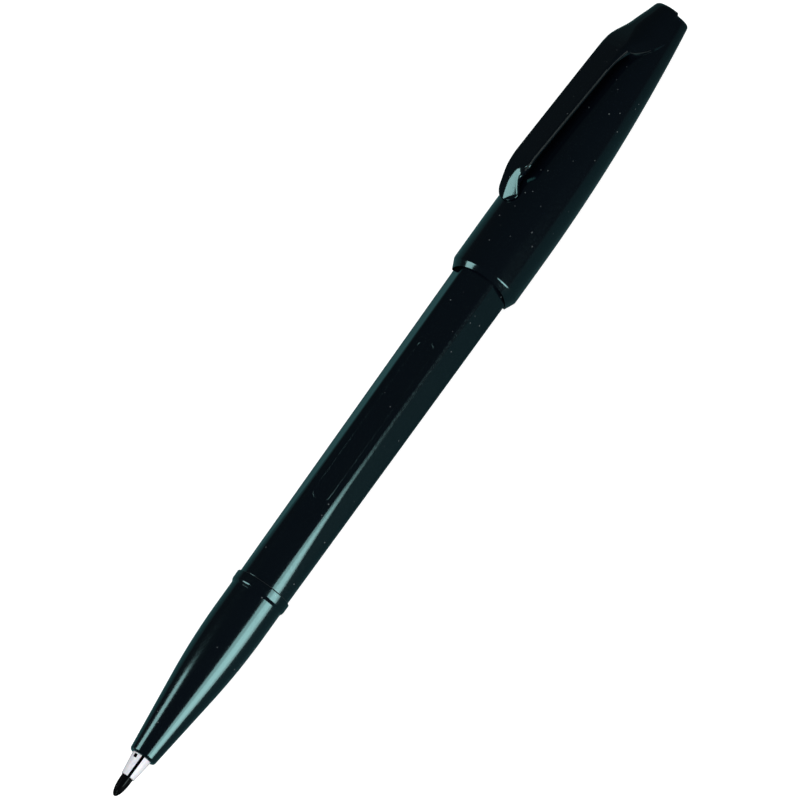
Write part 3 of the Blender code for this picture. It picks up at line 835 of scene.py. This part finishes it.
def cap_place(place, turn):
    """A station on the cap's rear. Place 1 is the foot of the head's front wall, 2 its crest and 3 the
    cap's end. The wall sweeps back on both sides of the clip."""
    beside = max(0.0, abs(math.degrees(turn)) - HEAD_WALL_TURN_DEG)
    swept = min(beside, HEAD_WALL_SWEEP_DEG)
    begin = min(swept, HEAD_WALL_SWEEP_SOFT_DEG)
    crest = wall_crest + HEAD_WALL_SWEEP * (swept - begin + begin**2 / (2 * HEAD_WALL_SWEEP_SOFT_DEG))
    foot = crest - HEAD_WALL_RAMP - HEAD_WALL_SOFTENING * smooth_share(beside / HEAD_WALL_SWEEP_DEG)
    marks = (wall_crest - HEAD_APPROACH, foot, crest, cap_rear - CAP_END_ROUND)
    step = min(2, int(place))
    return marks[step] + (marks[step + 1] - marks[step]) * (place - step)


def cap_ring(place, beyond=0.0, shrink=0.0):
    """A ring of the cap's rear: its round body and, behind the wall, the head that rises out of it."""
    up_wall = min(1.0, max(0.0, place - 1))
    ring = []
    for turn in spread(0, math.tau, CAP_AROUND)[:-1]:
        from_clip = turn_from_clip(turn)
        station = cap_place(place, from_clip) + beyond
        body = cap_radius(station)
        reach = body + (head_reach(station, from_clip) - body) * up_wall
        inside_head = HEAD_END_TURN_DEG - abs(math.degrees(from_clip))
        proud = HEAD_END_PROUD * smooth_share(inside_head / HEAD_END_TURN_SOFT_DEG + 0.5)
        proud *= smooth_share((station - cap_rear + HEAD_END_PROUD_LENGTH) / HEAD_END_PROUD_LENGTH)
        ring.append(on_pen(station + proud, reach - shrink, turn))
    return ring


def two_sided(turn, middle):
    """1 at a turn and right across from it, falling to 0 a quarter turn away."""
    return 1 - abs(math.sin(turn - middle)) ** MOUTH_DIP_POWER


def lip_inset(place, turn):
    """How far the lip is drawn in, this far behind the mouth's edge: a cone that bends into the body."""
    ahead = LIP_CONE_LENGTH + LIP_CONE_SWELL * two_sided(turn, LIP_SWELL_TURN) - place
    return LIP_CONE_SLOPE / 2 * (ahead + math.hypot(ahead, LIP_BEND))


def mouth_ring(share, bore=False):
    """A ring of the lip, from its edge at share 0 to the body. The edge slants and dips on two sides."""
    ring = []
    for turn in spread(0, math.tau, CAP_AROUND)[:-1]:
        edge = MOUTH_DIP * two_sided(turn, MOUTH_DIP_TURN)
        place = edge + (LIP_CONE_LENGTH + LIP_CONE_SWELL + 3 * LIP_BEND - edge) * share
        slant = MOUTH_SLANT * math.cos(turn - CLIP_TURN)
        radius = CAP_BORE if bore else CAP_RADIUS - lip_inset(place, turn)
        ring.append(on_pen(cap_mouth + MOUTH_BACK + slant + place, radius, turn))
    return ring


# Rings lie close together at the wall's foot and crest, so that both edges stay crisp.
wall_places = spread(0, 0.9, 5) + [0.97, 1, 1.3, 1.6, HEAD_CREST_HIGHLIGHT_FROM]
head_places = [2, 2.01] + spread(2.04, 3, 34)
cavity_profile = [(cavity_rear, 0)]
for station in spread(cavity_rear, shoulder + BORE_BEHIND_SHOULDER, CAP_CAVITY_STEPS):
    cavity_profile.append((station, cap_radius(station) - CAP_WALL))
cavity_profile.append((shoulder, CAP_BORE))
body_stations = spread(cap_mouth + LIP_END, wall_crest - HEAD_APPROACH, CAP_BODY_STEPS)[:-1]
end_profile = [
    (cap_rear, CAP_END_MIDDLE),
    (cap_rear, GATE_MARK_FOOT),
    (cap_rear + GATE_MARK_HEIGHT, GATE_MARK_RADIUS),
    (cap_rear + GATE_MARK_HEIGHT, GATE_MARK_HOLLOW),
    (cap_rear + GATE_MARK_HEIGHT / 2, 0),
]
cap_rings = turned_rings(cavity_profile, CAP_AROUND)
cap_rings.append(mouth_ring(MOUTH_EDGE_SHARE, bore=True))
cap_rings += [mouth_ring(share) for share in spread(0, 1, LIP_CONE_STEPS)]
cap_rings += turned_rings([(station, cap_radius(station)) for station in body_stations], CAP_AROUND)
cap_rings += [cap_ring(place) for place in wall_places]
below_crest = (len(cap_rings) - 1) * CAP_AROUND
cap_rings += [cap_ring(place) for place in head_places]
for bend in spread(0, math.pi / 2, CAP_END_ROUND_STEPS)[1:]:
    cap_rings.append(cap_ring(3, CAP_END_ROUND * math.sin(bend), CAP_END_ROUND * (1 - math.cos(bend))))
cap_rings += turned_rings(end_profile, CAP_AROUND)
cap_hull = as_piece("cap_hull", skinned(cap_rings), black_plastic)
cap_hull.data.materials.append(worn_and_painted_highlight_edge)
# A band of faces just under the crest, on both sides of the clip, takes the lighter edge finish: a painted
# highlight along the crest.
for step, turn in enumerate(spread(0, math.tau, CAP_AROUND)[:-1]):
    if HEAD_CREST_HIGHLIGHT_DEG[0] < abs(math.degrees(turn_from_clip(turn))) < HEAD_CREST_HIGHLIGHT_DEG[1]:
        cap_hull.data.polygons[below_crest + step].material_index = 1
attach(cap_hull, "cap")
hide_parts("cap_shell")

# Inner cap
# A soft natural plastic thimble pressed into the cap. It seals on the cone of a shut pen, so that the
# tip does not dry, and here its rim stands just behind the barrel's end.
LINER_BORE = 3.15
LINER_WALL = 0.55
LINER_END_WALL = 0.8
LINER_GAP = 0.1
LINER_RIM_CHAMFER = 0.15
LINER_RIM_LEAD = 0.2
LINER_STEPS = 16
LINER_AROUND = 96
LINER_PALE = (0.82, 0.82, 0.8, 1)
LINER_WARM = (0.74, 0.74, 0.7, 1)

liner_plastic, tree, shader, _ = grained_finish(
    "liner_plastic",
    tones=(LINER_PALE, LINER_WARM),
    roughness=(0.42, 0.58),
    scale=500,
    detail=4,
)
relief(tree, shader, grain(tree, scale=3000, detail=2), depth=0.000008)

liner_front, liner_rear = ends_of("inner_cap")
liner_bottom = liner_rear - LINER_END_WALL


def liner_radius(station):
    """Outside of the thimble, a small gap inside the cap's wall."""
    return cap_radius(station) - CAP_WALL - LINER_GAP


liner_profile = [(liner_rear, 0)]
for station in spread(liner_rear, liner_front + LINER_RIM_LEAD, LINER_STEPS):
    liner_profile.append((station, liner_radius(station)))
liner_profile.append((liner_front, liner_radius(liner_front) - LINER_RIM_CHAMFER))
liner_profile.append((liner_front, LINER_BORE + LINER_RIM_CHAMFER))
for station in spread(liner_front + LINER_RIM_CHAMFER, liner_bottom, LINER_STEPS):
    liner_profile.append((station, min(LINER_BORE, liner_radius(station) - LINER_WALL)))
liner_profile.append((liner_bottom, 0))
cap_liner = as_piece("cap_liner", skinned(turned_rings(liner_profile, LINER_AROUND)), liner_plastic)
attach(cap_liner, "cap")
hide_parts("inner_cap")

# Pocket clip
# The springy strap that holds the pen in a pocket, moulded in one with the cap. It leaves the head, rises
# slowly from the cap and turns down to a rounded nose that all but touches it.
CLIP_NOSE_LENGTH = 6.9
CLIP_NOSE_DROP = 0.033
CLIP_NOSE_HALF_WIDTH = 2.5
CLIP_NOSE_STEPS = 30
CLIP_STRAP_STEPS = 20
FAR_TRIM = 0.3
FAR_TRIM_FROM = 2.0
FAR_TRIM_LENGTH = 3.5
NEAR_TRIM = 1.3
NEAR_TRIM_FROM = 1.3
NEAR_TRIM_LENGTH = 2.1
NEAR_REGAIN = 0.5
NEAR_REGAIN_FROM = 3.4
NEAR_REGAIN_LENGTH = 2.6
FACET_FROM = 3.0
FACET_OPENS_FROM = 1.8
FACET_OPENS_LENGTH = 1.2
FACET_DEPTH = 0.12
FACET_FALL = 0.37
FACET_LEAN = 0.3
FACET_CROWN = 0.07
FACET_RIDGE_ASIDE = -0.45
FACET_RIDGE_SOFT = 0.06
FACET_FAR_FADE = 0.8
CLIP_TIP_PROUD = 0.6
CLIP_TIP_ROUND = 1.9
CLIP_TIP_SHARE = 0.35
CLIP_TOUCH_LENGTH = 4.1
CLIP_TOUCH_GAP = 0.13
CLIP_END_THICKNESS = 0.24
CLIP_BACK_STEPS = 12
CLIP_EDGE_ROOM = 0.7
CLIP_EDGE_TURN = math.radians(115)
CLIP_EDGE_STEPS = 9
CLIP_UNDERSIDE_SHARE = 0.55
CLIP_UNDERSIDE_FLAT = 0.92
CLIP_UNDERSIDE_STEPS = 3
CLIP_HEEL_UP = 0.08
CLIP_HEEL_ASIDE = 0.14
CLIP_ROOT_FLARE = 4.2
CLIP_ROOT_STEPS = 12
CLIP_IN_HEAD = 1.2
CLIP_IN_HEAD_STEPS = 10
CLIP_INSET_IN_HEAD = 0.003
CLIP_SINK_FROM = 0.1
CLIP_SINK_IN_HEAD = 0.3
CLIP_HIGHLIGHT_STEPS = range(CLIP_BACK_STEPS + 3, CLIP_BACK_STEPS + 6)
CLIP_HIGHLIGHT_STEP_AT_ROOT = CLIP_BACK_STEPS + 5
CLIP_HIGHLIGHT_ONTO_NOSE = 2.4

clip_front = ends_of("pocket_clip")[0]
clip_tip = clip_front - CLIP_TIP_PROUD
clip_nose_start = clip_front + CLIP_NOSE_LENGTH
clip_nose_top = clip_root_top + CLIP_BACK_RISE * (clip_root - clip_nose_start)
flare_start = wall_crest - CLIP_ROOT_FLARE


def above_cap(station, aside):
    """How high the cap's round body lies under the clip, beside the clip's middle."""
    return math.sqrt(cap_radius(station) ** 2 - aside**2)


def strap_shape(station):
    """Top, underside, half width and edge radius of the clip."""
    if station > wall_crest:
        top, half_width, edge = head_shape(station)
        inset = CLIP_INSET_IN_HEAD + CLIP_SINK_IN_HEAD * max(0.0, station - wall_crest - CLIP_SINK_FROM)
        return top - inset, clip_root_top - CLIP_THICKNESS, half_width - inset, edge
    run = min(1.0, (clip_root - station) / (clip_root - clip_nose_start))
    past_strap = max(0.0, clip_nose_start - station)
    back = head_shape(max(station, clip_nose_start))[0]
    touch = cap_radius(station) + CLIP_TOUCH_GAP
    lifted = 1 - smooth_share(past_strap / CLIP_TOUCH_LENGTH)
    bottom = touch + (back - CLIP_THICKNESS - touch) * lifted
    flare = max(0.0, 1 - (wall_crest - station) / CLIP_ROOT_FLARE) ** 2
    half_width = CLIP_ROOT_HALF_WIDTH + (CLIP_NOSE_HALF_WIDTH - CLIP_ROOT_HALF_WIDTH) * run
    half_width += (HEAD_HALF_WIDTH - CLIP_ROOT_HALF_WIDTH) * flare
    rounding = max(0.0, 1 - (station - clip_tip) / CLIP_TIP_ROUND)
    half_width *= CLIP_TIP_SHARE + (1 - CLIP_TIP_SHARE) * math.sqrt(1 - rounding**2)
    edge = CLIP_EDGE_ROUND + (HEAD_EDGE_ROUND - CLIP_EDGE_ROUND) * flare
    return back - CLIP_NOSE_DROP * past_strap**2, bottom, half_width, edge


def back_height(station, aside, top):
    """The clip's back. On the nose a slanting facet takes its -Y side away, down to a thin end."""
    past_strap = clip_nose_start - station
    across = max(0.0, aside - FACET_RIDGE_ASIDE)
    fall = FACET_FALL * (past_strap - FACET_FROM) + FACET_LEAN * across + FACET_CROWN * across**2
    above = top - (clip_nose_top - FACET_DEPTH - fall)
    opened = smooth_share((past_strap - FACET_OPENS_FROM) / FACET_OPENS_LENGTH)
    cut = (above + math.hypot(above, FACET_RIDGE_SOFT)) / 2 * opened
    if aside < FACET_RIDGE_ASIDE:
        cut *= smooth_share(1 + (aside - FACET_RIDGE_ASIDE) / FACET_FAR_FADE)
    thinnest = above_cap(station, aside) + CLIP_TOUCH_GAP + CLIP_END_THICKNESS
    return max(thinnest, top - cut) if past_strap > 0 else top - cut


def nose_trim(station, side):
    """How far the nose is drawn in on a side: a waist on the near one, and plain narrowing on the far."""
    past_strap = clip_nose_start - station
    if side < 0:
        return FAR_TRIM * smooth_share((past_strap - FAR_TRIM_FROM) / FAR_TRIM_LENGTH)
    regain = NEAR_REGAIN * smooth_share((past_strap - NEAR_REGAIN_FROM) / NEAR_REGAIN_LENGTH)
    return NEAR_TRIM * smooth_share((past_strap - NEAR_TRIM_FROM) / NEAR_TRIM_LENGTH) * (1 - regain)


def half_strap(station, side):
    """One half of a cross-section as (up, aside), from the middle of the back to that of the underside."""
    top, bottom, half_width, edge = strap_shape(station)
    reach = half_width - nose_trim(station, side)
    lowest = min(bottom, above_cap(station, reach) + CLIP_TOUCH_GAP)
    edge = min(edge, CLIP_EDGE_ROOM * (back_height(station, side * reach, top) - lowest))
    flat = reach - edge
    half = []
    for aside in spread(0, flat, CLIP_BACK_STEPS):
        half.append((back_height(station, side * aside, top), aside))
    lean = math.atan2(half[-2][0] - half[-1][0], flat / CLIP_BACK_STEPS)
    edge_up = half[-1][0] - edge
    for turn in spread(max(0.0, lean), CLIP_EDGE_TURN, CLIP_EDGE_STEPS)[1:]:
        half.append((edge_up + edge * math.cos(turn), flat + edge * math.sin(turn)))
    last_up, last_aside = half[-1]
    under = CLIP_UNDERSIDE_SHARE * reach
    heel_up = bottom + CLIP_HEEL_UP * (last_up - bottom)
    half.append((heel_up, under + CLIP_HEEL_ASIDE * (last_aside - under)))
    half += [(bottom, aside) for aside in spread(CLIP_UNDERSIDE_FLAT * under, 0, CLIP_UNDERSIDE_STEPS)]
    return half


def strap_ring(station):
    """A cross-section of the clip: round-edged back, and flanks that slant in to a narrow underside."""
    near = half_strap(station, 1)
    far = half_strap(station, -1)
    ring = []
    for up, aside in near + [(up, -aside) for up, aside in far[-2:0:-1]]:
        ring.append(on_pen(station, math.hypot(up, aside), CLIP_TURN + math.atan2(aside, up)))
    return ring


def middle_of(ring):
    """The mean of a ring's points, as a ring of one point."""
    return [sum(ring, Vector()) / len(ring)]


strap_stations = []
for bend in spread(math.pi / 2, 0, CLIP_NOSE_STEPS):
    strap_stations.append(clip_nose_start - (clip_nose_start - clip_tip) * math.sin(bend))
strap_stations += spread(clip_nose_start, flare_start, CLIP_STRAP_STEPS)[1:]
strap_stations += spread(flare_start, wall_crest, CLIP_ROOT_STEPS)[1:]
strap_stations += spread(wall_crest + CLIP_SINK_FROM, head_front + CLIP_IN_HEAD, CLIP_IN_HEAD_STEPS)
strap_rings = [strap_ring(station) for station in strap_stations]
around_strap = len(strap_rings[0])
strap_rings.insert(0, middle_of(strap_rings[0]))
strap_rings.append(middle_of(strap_rings[-1]))
clip_strap = as_piece("clip_strap", skinned(strap_rings), black_plastic, crease_deg=45)
clip_strap.data.materials.append(worn_and_painted_highlight_edge)
# A thin band along the strap's near edge, on the -Y side, and at its root takes the lighter edge finish: a
# painted highlight.
for face in clip_strap.data.polygons:
    station = (face.center.x - TIP_FRONT_X) / MM
    step = face.index % around_strap
    on_strap = clip_nose_start - CLIP_HIGHLIGHT_ONTO_NOSE < station < flare_start and step in CLIP_HIGHLIGHT_STEPS
    at_root = flare_start < station < wall_crest and step == CLIP_HIGHLIGHT_STEP_AT_ROOT
    if on_strap or at_root:
        face.material_index = 1
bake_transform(clip_strap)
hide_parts("pocket_clip")

# Table and light
# A pale table top under the pen. A long softbox and a strip light the grip from the -Y side, an oval one
# lights the tip from the +Y side, and a wide one above fills in without a shine of its own. The room is
# dim, so that the black stays black.
TABLE_HALF = 4.0
TABLE_CELLS = 8
TABLE_PALE = (0.5, 0.5, 0.5, 1)
TABLE_FLECK = (0.47, 0.47, 0.475, 1)
TABLE_ROUGHNESS = 0.9
TABLE_SPECULAR = 0.1
TABLE_IN_SHINE = (0.05, 0.27, 0.29, 1)
TABLE_IN_SHINE_NEAR = (0.015, 0.12, 0.13, 1)
TABLE_IN_SHINE_FAR = (0.005, 0.02, 0.022, 1)
TABLE_SHINE_TURNS_Y = (-0.01, 0.01)
TABLE_SHINE_FADE = 25.0
TABLE_SHINE_AT_CAP = 0.3
TABLE_SHINE_FADES_X = (0.055, 0.095)
TABLE_WHITE_LIFT = 0.84
TABLE_SHINE_LIFT = 0.04
ROOM_DIM = 0.034
WHITE = (1, 1, 1, 1)

scene = bpy.context.scene
scene.view_settings.view_transform = "Standard"
bm = bmesh.new()
bmesh.ops.create_grid(bm, x_segments=TABLE_CELLS, y_segments=TABLE_CELLS, size=TABLE_HALF)
table_finish, tree, shader = new_finish("table_finish")
rays = tree.nodes.new("ShaderNodeLightPath")
across = tree.nodes.new("ShaderNodeSeparateXYZ")
tree.links.new(places_on(tree), across.inputs["Vector"])
flecks = ranged(tree, grain(tree, scale=40, detail=4))
pale = two_tones(tree, flecks, TABLE_PALE, TABLE_FLECK)

# A painted reflection: only in the pen's gloss does the table show a cool teal, darker colour, darker
# still on the -Y side, dimming away from the pen and beside the cap.
far_side = ranged(tree, across.outputs["Y"], source=TABLE_SHINE_TURNS_Y)
beside_pen = two_tones(tree, far_side, TABLE_IN_SHINE_NEAR, TABLE_IN_SHINE)
distance = worked_out(tree, "ABSOLUTE", across.outputs["Y"])
faded = worked_out(tree, "MULTIPLY_ADD", distance, TABLE_SHINE_FADE, 1)
closeness = worked_out(tree, "DIVIDE", 1, faded)
before_cap = ranged(tree, across.outputs["X"], (1, TABLE_SHINE_AT_CAP), TABLE_SHINE_FADES_X)
shown = worked_out(tree, "MULTIPLY", closeness, before_cap)
in_shine = two_tones(tree, shown, TABLE_IN_SHINE_FAR, beside_pen)
table_colour = two_tones(tree, rays.outputs["Is Glossy Ray"], pale, in_shine)
tree.links.new(table_colour, shader.inputs["Base Color"])
shader.inputs["Roughness"].default_value = TABLE_ROUGHNESS
shader.inputs["Specular IOR Level"].default_value = TABLE_SPECULAR

# Seen straight on or through clear plastic, the table is lifted to white. The shadow stays.
seen = worked_out(tree, "MAXIMUM", rays.outputs["Is Camera Ray"], rays.outputs["Is Transmission Ray"])
white_lift = worked_out(tree, "MULTIPLY", seen, TABLE_WHITE_LIFT)
lift = worked_out(tree, "MULTIPLY_ADD", rays.outputs["Is Glossy Ray"], TABLE_SHINE_LIFT, white_lift)
shader.inputs["Emission Color"].default_value = WHITE
tree.links.new(lift, shader.inputs["Emission Strength"])
table_top = as_piece("table_top", bm, table_finish)

room = bpy.data.worlds.new("dim_room")
scene.world = room
room.use_nodes = True
tree = room.node_tree
rays = tree.nodes.new("ShaderNodeLightPath")
strength = ranged(tree, rays.outputs["Is Camera Ray"], (ROOM_DIM, 1), (0, 1))
tree.nodes["Background"].inputs["Color"].default_value = WHITE
tree.links.new(strength, tree.nodes["Background"].inputs["Strength"])


def softbox(name, target, along, turn_deg, distance, length, height, radiance):
    """A softbox beside the pen, in mm: the X it shines at, the X of its middle, and its turn from straight
    up about the pen's axis."""
    turn = math.radians(turn_deg)
    lamp = bpy.data.lights.new(name, "AREA")
    lamp.shape = "RECTANGLE"
    lamp.size = length * MM
    lamp.size_y = height * MM
    lamp.energy = radiance * math.pi * length * height * MM * MM
    light = bpy.data.objects.new(name, lamp)
    aim = Vector((target * MM, AXIS_Y, AXIS_Z))
    out = Vector((0, -math.sin(turn), math.cos(turn)))
    light.location = Vector((along * MM, AXIS_Y, AXIS_Z)) + out * distance * MM
    light.rotation_mode = "QUATERNION"
    light.rotation_quaternion = (aim - light.location).to_track_quat("-Z", "Y")
    light.visible_camera = False
    scene.collection.objects.link(light)
    return light


softbox(
    "grip_softbox", target=-50, along=-50, turn_deg=69, distance=300, length=146, height=250, radiance=5.2
)
softbox(
    "grip_strip", target=-50, along=-50, turn_deg=71, distance=280, length=146, height=110, radiance=3.0
)
tip_light = softbox(
    "tip_softbox", target=-80, along=-125, turn_deg=-50, distance=300, length=130, height=190, radiance=4.9
)
tip_light.data.shape = "ELLIPSE"
fill_light = softbox(
    "top_fill", target=0, along=0, turn_deg=0, distance=500, length=500, height=400, radiance=2.2
)
fill_light.visible_glossy = False

# Camera
# A long lens almost straight above the pen, turned so that the pen lies from corner to corner of a
# square picture.
PICTURE = 800
SENSOR_WIDTH = 36
CAMERA_TURN = math.radians(17.0)
CAMERA_TILT = math.radians(9.0)
CAMERA_ROLL = math.radians(54.29)
PIXELS_PER_MM = 6.519
MIDDLE_PIXEL = (393.54, 403.3)
CAMERA_DISTANCE = 5770.0
AIM_HEIGHT = 5.9

towards = Vector((
    -math.sin(CAMERA_TILT),
    -math.sin(CAMERA_TURN) * math.cos(CAMERA_TILT),
    math.cos(CAMERA_TURN) * math.cos(CAMERA_TILT),
))
pen_line = (Vector((1, 0, 0)) - towards * towards.x).normalized()
pen_across = towards.cross(pen_line)
picture_right = pen_line * math.cos(CAMERA_ROLL) - pen_across * math.sin(CAMERA_ROLL)
picture_up = pen_line * math.sin(CAMERA_ROLL) + pen_across * math.cos(CAMERA_ROLL)
aim = Vector((0, 0, AIM_HEIGHT))
aim += picture_right * (PICTURE / 2 - MIDDLE_PIXEL[0]) / PIXELS_PER_MM
aim += picture_up * (MIDDLE_PIXEL[1] - PICTURE / 2) / PIXELS_PER_MM
lens = bpy.data.cameras.new("long_lens")
lens.sensor_width = SENSOR_WIDTH
lens.lens = SENSOR_WIDTH * CAMERA_DISTANCE * PIXELS_PER_MM / PICTURE
camera = bpy.data.objects.new("camera", lens)
stand = aim + towards * CAMERA_DISTANCE
camera.matrix_world = Matrix((
    (picture_right.x, picture_up.x, towards.x, stand.x * MM),
    (picture_right.y, picture_up.y, towards.y, stand.y * MM),
    (picture_right.z, picture_up.z, towards.z, stand.z * MM),
    (0, 0, 0, 1),
))
scene.collection.objects.link(camera)
scene.camera = camera
